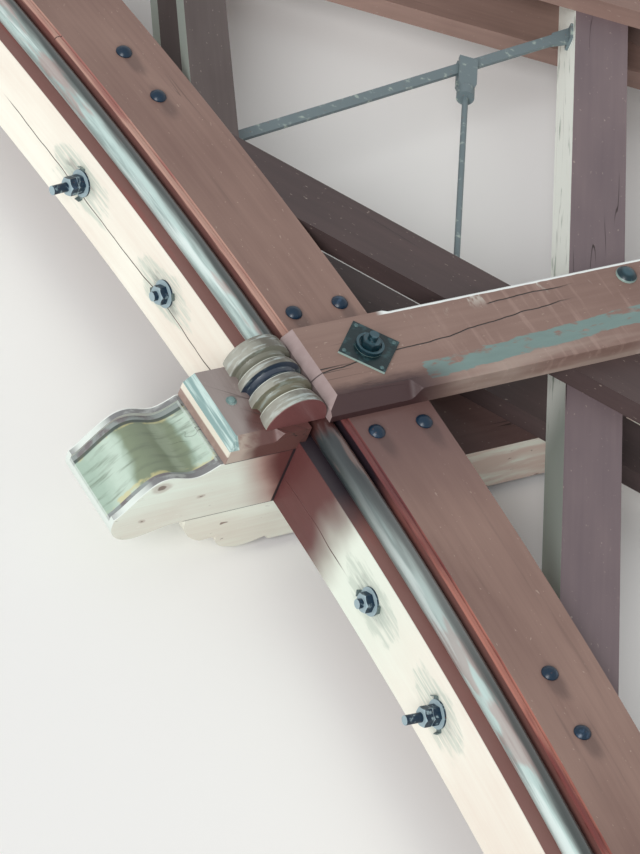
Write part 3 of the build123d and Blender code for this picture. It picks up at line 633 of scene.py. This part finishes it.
def far_coats(name, degrees, hand, paint):
    """A softwood far plank under brushed oil paint: thin greenish white, ruddy in places, on its
    scrolled end and lower side, and satin brown elsewhere."""
    material, tree, shader = start_material(name, 0.5)
    vector, along, _, _ = timber_coords(tree, degrees, hand)
    brown, streak = brushed_paint(tree, vector, paint.umber, linear("#6d5550"), 6.0)
    white, _ = brushed_paint(tree, vector, linear("#eaf3e6"), linear("#d2cabc"), 3.0, "#ffffff")
    knots = where(tree, (mottle(tree, vector, (50, 18, 18), 3.0, seed=33.0), 0.68, 0.74))
    ruddy = where(tree, (mottle(tree, vector, (240, 40, 40), seed=11.0), 0.3, 0.55),
                  (along, R_OUT - 0.05, R_OUT + 0.05))
    white = coats(tree, white, (ruddy, linear("#cbb2a5"), 0.85), (knots, linear("#6a4a3b"), 0.8))
    side = facing(tree, degrees, hand)[1]
    pale = either(tree, where(tree, (side, -0.4, -0.7)), where(tree, (along, R_IN + 0.03, R_IN)))
    crack = grain_cracks(tree, vector, 3.0, 0.6)
    colour = coats(tree, brown, (pale, white), (crack, linear("#2a1d1b")))
    finish_material(tree, shader, colour, timber_relief(tree, streak, crack))
    return material


def turned_enamel(paint):
    """Enamel brushed round turned softwood: a soft gloss on khaki and grey rings, with painted
    highlights in pale streaks, on their inner sides and along their lower arrises, painted shade
    on their outer sides, olive hollows and a navy middle hollow with a painted sheen among scuffs,
    and a dark red lower end."""
    material, tree, shader = start_material("turned_enamel", 0.4)
    raw = timber_coords(tree)[0]
    vector, along, radius, _ = arch_coords(tree)
    lag = clasp_lag(tree, along)
    blotch = mottle(tree, raw, (70, 70, 70), seed=2.0)
    rubbed = mottle(tree, vector, (9, 60, 45), seed=4.0)
    # painted highlight on the rings' inner side and painted shade on their outer side
    inward = where(tree, (radius, R_IN - 0.01, R_IN - 0.09))
    outward = where(tree, (radius, R_IN + 0.02, R_IN + 0.06))
    # the pale streaks from rubbed are painted highlights
    colour = coats(tree, paint.ring, (where(tree, (blotch, 0.42, 0.56)), linear("#565348")),
                   (where(tree, (rubbed, 0.5, 0.66)), linear("#c0cfcd"), 0.6),
                   (inward, linear("#c3c3b8"), 0.45), (outward, linear("#55564c"), 0.6))
    # painted sheen, with scuffs, in the hollows
    sheen_and_scuffs = where(tree, (rubbed, 0.52, 0.66))
    # each hollow from its upper to its lower edge, in millimetres up from the clasp's axis
    for upper, lower, text in ((71.0, 42.5, "#6c6c60"), (16.0, -12.5, "#24303f"),
                               (-41.0, -69.5, "#6d6b5a")):
        hollow = where(tree, (lag, (lower - 0.7) * MM, (lower + 0.7) * MM),
                       (lag, (upper + 0.7) * MM, (upper - 0.7) * MM))
        # painted highlight along each ring's lower arris
        arris = where(tree, (lag, (lower - 3.5) * MM, (lower - 2) * MM),
                      (lag, (lower + 0.8) * MM, lower * MM))
        paintwork = coats(tree, linear(text), (sheen_and_scuffs, linear("#94a19c"), 0.55))
        colour = coats(tree, colour, (hollow, paintwork), (arris, linear("#e3e8dd")))
    lower_end = where(tree, (lag, -114.0 * MM, -114.8 * MM))
    colour = coats(tree, colour, (lower_end, linear("#714645")))
    finish_material(tree, shader, colour, mottle(tree, raw, (20, 20, 20), 3.0), 0.5)
    shader.inputs["Coat Weight"].default_value = 0.2
    return material


def iron_enamel(name, base, chipped_and_lit, roughness=0.3, plate=None, smear_and_highlight=None):
    """Enamel brushed over forged iron: smooth and glossy, with paler rubbed patches and a few
    rust flecks.

    plate is the coat of the square plates on the near planks, with a painted highlight on their
    edges and on faces that look up, and smear_and_highlight is the pale paint wiped over the ends
    of the nuts under the arch, laid on as a painted highlight on their sides that face the arch's
    centre and as blots."""
    material, tree, shader = start_material(name, roughness)
    raw, _, _, z = timber_coords(tree)
    patch = where(tree, (mottle(tree, raw, (25, 25, 25), seed=3.0), 0.56, 0.72))
    fleck = where(tree, (mottle(tree, raw, (8, 8, 8), 3.0, seed=6.0), 0.66, 0.74))
    colour = coats(tree, base, (patch, chipped_and_lit, 0.7), (fleck, linear("#8a5a44"), 0.5))
    if plate is not None:
        up = facing(tree)[2]
        on_plate = where(tree, (z, PLATE_TOP + 0.8 * MM, PLATE_TOP + 0.3 * MM),
                         (z, PLATE_TOP - 8 * MM, PLATE_TOP - 7 * MM))
        worn = where(tree, (mottle(tree, raw, (30, 30, 30), seed=8.0), 0.5, 0.66))
        # painted highlight on the plate's edges
        plate = coats(tree, plate, (worn, linear("#3f5f63"), 0.5),
                      (where(tree, (up, 0.7, 0.5)), linear("#8fa59f")))
        # painted highlight on faces that look up
        colour = coats(tree, colour, (where(tree, (up, 0.8, 0.95)), chipped_and_lit, 0.4),
                       (on_plate, plate))
    if smear_and_highlight is not None:
        # painted highlight on the sides of the nuts that face the arch's centre, and pale paint in
        # blots
        out = add(tree, VECTOR_MATH, (raw, (1.0, 1.0, 0.0)), operation="MULTIPLY")
        out = add(tree, VECTOR_MATH, (out,), operation="NORMALIZE")
        normal = add(tree, "ShaderNodeNewGeometry", out=1)
        turned = add(tree, VECTOR_MATH, (normal, out), 1, operation="DOT_PRODUCT")
        inward = add(tree, MATH, (where(tree, (turned, -0.5, -0.8)), 0.75),
                     operation="MULTIPLY")
        blots = where(tree, (mottle(tree, raw, (14, 14, 14), seed=14.0), 0.54, 0.68))
        blots = add(tree, MATH, (blots, 0.5), operation="MULTIPLY")
        colour = coats(tree, colour, (either(tree, inward, blots), smear_and_highlight))
    finish_material(tree, shader, colour, mottle(tree, raw, (6, 6, 6), 3.0), 0.4)
    shader.inputs["Specular IOR Level"].default_value = 0.3
    return material


def clasps():
    """The ending of each clasp's node names, its degrees up the arch, and its hand."""
    for name, degrees in CLASPS.items():
        for side, hand in SIDES if name != "king" else (("", 1),):
            yield f"{name}_{side}".rstrip("_"), degrees, hand


def arch_place(degrees, hand):
    """A placing matrix with X out along the arch's radius, and Y up the right or left half."""
    return (Matrix.Diagonal((hand, 1, 1, 1)) @ Matrix.Translation((0, -MID_Y, 0))
            @ Matrix.Rotation(math.radians(degrees), 4, "Z"))


def lathe(mesh, profile, place, steps=20):
    """Turns a profile of (radius, height) points in metres about the Z axis of a matrix."""
    turns = [2 * math.pi * i / steps for i in range(steps)]
    rings = [[mesh.verts.new(place @ Vector((r * math.cos(a), r * math.sin(a), h)))
              for a in turns] for r, h in profile]
    for low, high in zip(rings, rings[1:]):
        for i in range(steps):
            j = (i + 1) % steps
            mesh.faces.new((low[i], low[j], high[j], high[i]))
    mesh.faces.new(rings[-1])


def finish_piece(name, mesh, material):
    """Makes an object of the mesh that rides on the truss."""
    bmesh.ops.recalc_face_normals(mesh, faces=mesh.faces)
    data = bpy.data.meshes.new(name)
    mesh.to_mesh(data)
    mesh.free()
    piece = bpy.data.objects.new(name, data)
    bpy.context.scene.collection.objects.link(piece)
    data.materials.append(material)
    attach(piece, "root")


def wear(node, material):
    """Gives a CAD node its finish."""
    mesh = NODES[node].data
    mesh.materials.clear()
    mesh.materials.append(material)


class TRUSS_OT_stage(bpy.types.Operator):
    """Camera, lamps, floor and backdrop"""
    bl_idname = "truss.stage"
    bl_label = "Stage"

    def execute(self, context):
        scene = context.scene
        look = scene.truss_stage
        scene.view_settings.view_transform = "Standard"
        camera = bpy.data.objects.new("view", bpy.data.cameras.new("view"))
        scene.collection.objects.link(camera)
        camera.data.lens = look.lens
        camera.data.sensor_width = 36.0
        camera.data.clip_end = 200.0
        # the camera's own axes, and its place over the right-hand haunch
        right = Vector((0.952, 0.057, 0.3015))
        up = Vector((-0.255, 0.695, 0.6725))
        back = Vector((-0.171, -0.717, 0.6759))
        spot = Vector((8.57175, -1.04125 - MID_Y, Z_FACE + 7.5975))
        turned = Matrix((right, up, back)).transposed().to_4x4()
        camera.matrix_world = Matrix.Translation(spot) @ turned
        scene.camera = camera

        # the background is white to the camera and in gloss, and softer as light
        world = bpy.data.worlds.new("studio")
        scene.world = world
        world.use_nodes = True
        tree = world.node_tree
        shader = tree.nodes["Background"]
        seen = either(tree, *(add(tree, "ShaderNodeLightPath", out=i) for i in (0, 3, 6)))
        strength = add(tree, "ShaderNodeMix", {0: seen, 2: look.sky, 3: 1.0}, data_type="FLOAT")
        shader.inputs["Color"].default_value = (1, 1, 1, 1)
        tree.links.new(strength, shader.inputs["Strength"])

        lamp = bpy.data.objects.new("soft_lamp", bpy.data.lights.new("soft_lamp", "SUN"))
        lamp.data.energy = look.lamp
        lamp.data.angle = math.radians(28)
        towards_lamp = Vector((-0.35, -0.75, 0.55))
        lamp.rotation_euler = towards_lamp.to_track_quat("Z", "Y").to_euler()
        scene.collection.objects.link(lamp)

        mesh = bpy.data.meshes.new("floor")
        half = 150.0
        corners = [(-half, -half, 0), (half, -half, 0), (half, half, 0), (-half, half, 0)]
        mesh.from_pydata(corners, [], [(0, 1, 2, 3)])
        floor = bpy.data.objects.new("floor", mesh)
        scene.collection.objects.link(floor)
        material, _, shader = start_material("pale_floor", 0.9)
        shader.inputs["Base Color"].default_value = look.floor
        mesh.materials.append(material)
        return {"FINISHED"}


class TRUSS_OT_timber(bpy.types.Operator):
    """Oil paint on the rib, rafters, planks, heads and eave timbers"""
    bl_idname = "truss.timber"
    bl_label = "Painted timber"

    def execute(self, context):
        paint = context.scene.truss_paint
        rib = rib_coats(paint)
        # node, name of its paint, degrees it lies at, fresh and worn colours, seed, pale side
        boards = (("rafter", "rafter", -PITCH, "#7d6860", paint.umber, 7.0, None),
                  ("eave_braces", "brace", -20.3, "#4a3b3a", linear("#352a2a"), 3.0, None),
                  ("eave_beams", "beam", 0.0, "#94796f", linear("#6f5850"), 5.0, None),
                  ("eave_post", "post", 90.0, "#77686a", linear("#62555a"), 2.0, "#fbfff6"),
                  ("eave_struts", "strut", 98.2, "#544a48", linear("#3d3230"), 9.0, "#d3e3e0"))
        for side, hand in SIDES:
            for part in ("foot", "haunch", "crown"):
                wear(f"rib_{part}_{side}", rib)
            for node, name, degrees, fresh, worn, seed, edge in boards:
                wear(f"{node}_{side}",
                     oiled_board(f"{name}_oil_paint_{side}", degrees, hand, linear(fresh), worn,
                                 seed, edge and linear(edge)))
        for ending, degrees, hand in clasps():
            wear(f"near_plank_{ending}",
                 plank_coats(f"near_plank_paint_{ending}", degrees, hand, paint))
            wear(f"far_plank_{ending}",
                 far_coats(f"far_plank_paint_{ending}", degrees, hand, paint))
            shift = 0.0 if ending == "king" else HEAD_SHIFT
            wear(f"head_{ending}", head_coats(f"head_paint_{ending}", degrees, hand, shift, paint))
        wear("head_caps", cap_coats(paint))
        return {"FINISHED"}


class TRUSS_OT_mouldings(bpy.types.Operator):
    """Enamel on the round mouldings and the turned collars"""
    bl_idname = "truss.mouldings"
    bl_label = "Mouldings"

    def execute(self, context):
        paint = context.scene.truss_paint
        roll = roll_enamel(paint)
        for side, _ in SIDES:
            wear(f"edge_rolls_{side}", roll)
        wear("turned_collars", turned_enamel(paint))
        return {"FINISHED"}


class TRUSS_OT_iron(bpy.types.Operator):
    """Enamel on bolts, nuts, plates and bars, with the small heads, nails and locking tabs"""
    bl_idname = "truss.iron"
    bl_label = "Iron"

    def execute(self, context):
        paint = context.scene.truss_paint
        sizes = context.scene.truss_fastenings
        navy = iron_enamel("bolt_enamel", paint.navy, linear("#3a4f66"))
        clasp = iron_enamel("plate_enamel", linear("#132b33"), linear("#56747f"),
                            plate=paint.plate)
        smeared_and_lit = iron_enamel("nut_enamel", paint.navy, linear("#3a4f66"),
                              smear_and_highlight=linear("#a9bfc6"))
        slate = iron_enamel("bar_enamel", paint.slate, linear("#b3c1b6"), 0.4)
        finishes = {"clasp_bolts": clasp, "rib_radial_bolts": smeared_and_lit, "rib_bolts": navy,
                    "flat_bar": slate, "hanger_rod": slate}
        for node in NODES:
            for start, material in finishes.items():
                if node.startswith(start):
                    wear(node, material)
        self.small_heads(sizes)
        self.locking_tabs(sizes)
        return {"FINISHED"}

    def small_heads(self, sizes):
        """Round heads on the caps, and nails at the corners of the square plates."""
        caps, nails = bmesh.new(), bmesh.new()
        scale = sizes.cap_head / (2 * CAP_HEAD[0][0])
        for ending, degrees, hand in clasps():
            clasp = arch_place(degrees, hand)
            place = clasp @ Matrix.Translation((CAP_BOLT_R, -4 * MM, Z_FACE - 0.5 * MM))
            lathe(caps, [(r * scale, h * scale) for r, h in CAP_HEAD], place)
            shift = 0.0 if ending == "king" else PLATE_SHIFT
            plate = (clasp @ Matrix.Translation((PLATE_R, shift, PLATE_TOP - 0.5 * MM))
                     @ Matrix.Rotation(math.radians(PLATE_TURN), 4, "Z"))
            for x, y in ((-1, -1), (1, -1), (1, 1), (-1, 1)):
                corner = Vector((x, y, 0)) * sizes.nail_gap / 2
                lathe(nails, NAIL_HEAD, plate @ Matrix.Translation(corner), 12)
        head_paint = iron_enamel("head_enamel", linear("#6f8886"), linear("#b5c4bf"), 0.35)
        nail_paint = iron_enamel("nail_enamel", linear("#4a6264"), linear("#9fb0ac"), 0.4)
        finish_piece("cap_bolt_heads", caps, head_paint)
        finish_piece("plate_nails", nails, nail_paint)

    def locking_tabs(self, sizes):
        """Two thin tabs under each nut of the arch, bent up against its flats."""
        mesh = bmesh.new()
        half = sizes.tab_width / 2
        places = [(degrees + turn, turn, hand, spin) for degrees in CLASPS.values()
                  for turn in NUT_TURNS if degrees + turn <= 90
                  for hand in (1, -1) for spin in (35.0, 215.0)]
        for degrees, turn, hand, spin in places:
            place = (arch_place(degrees, hand) @ Matrix.Translation((R_IN, 0, NUT_Z))
                     @ Matrix.Rotation(math.radians(-90), 4, "Y")
                     @ Matrix.Rotation(math.radians(spin + 40 * turn), 4, "Z"))
            sides = [[mesh.verts.new(place @ Vector((u, v, w))) for u, w in TAB]
                     for v in (-half, half)]
            mesh.faces.new(sides[0])
            mesh.faces.new(sides[1])
            for i in range(len(TAB)):
                j = (i + 1) % len(TAB)
                mesh.faces.new((sides[0][i], sides[0][j], sides[1][j], sides[1][i]))
        tab_paint = iron_enamel("tab_enamel", linear("#5d6c6c"), linear("#b9c6c1"), 0.4)
        finish_piece("locking_tabs", mesh, tab_paint)


class TRUSS_PT_panel(bpy.types.Panel):
    """Lists the paints, the sizes, the stage and the steps"""
    bl_idname = "TRUSS_PT_panel"
    bl_label = "Roof truss"
    bl_space_type = "VIEW_3D"
    bl_region_type = "UI"
    bl_category = "Truss"

    def draw(self, context):
        scene = context.scene
        for group in (scene.truss_paint, scene.truss_fastenings, scene.truss_stage):
            box = self.layout.box()
            for key in group.__annotations__:
                box.prop(group, key)
        for step in STEPS:
            self.layout.operator(step.bl_idname)


STEPS = (TRUSS_OT_stage, TRUSS_OT_timber, TRUSS_OT_mouldings, TRUSS_OT_iron)
CLASSES = (TrussPaint, TrussFastenings, TrussStage, *STEPS, TRUSS_PT_panel)


def register():
    for cls in CLASSES:
        bpy.utils.register_class(cls)
    bpy.types.Scene.truss_paint = PointerProperty(type=TrussPaint)
    bpy.types.Scene.truss_fastenings = PointerProperty(type=TrussFastenings)
    bpy.types.Scene.truss_stage = PointerProperty(type=TrussStage)


def unregister():
    del bpy.types.Scene.truss_stage
    del bpy.types.Scene.truss_fastenings
    del bpy.types.Scene.truss_paint
    for cls in reversed(CLASSES):
        bpy.utils.unregister_class(cls)


def main():
    register()
    bpy.ops.truss.stage()
    bpy.ops.truss.timber()
    bpy.ops.truss.mouldings()
    bpy.ops.truss.iron()


if __name__ == "__main__":
    main()
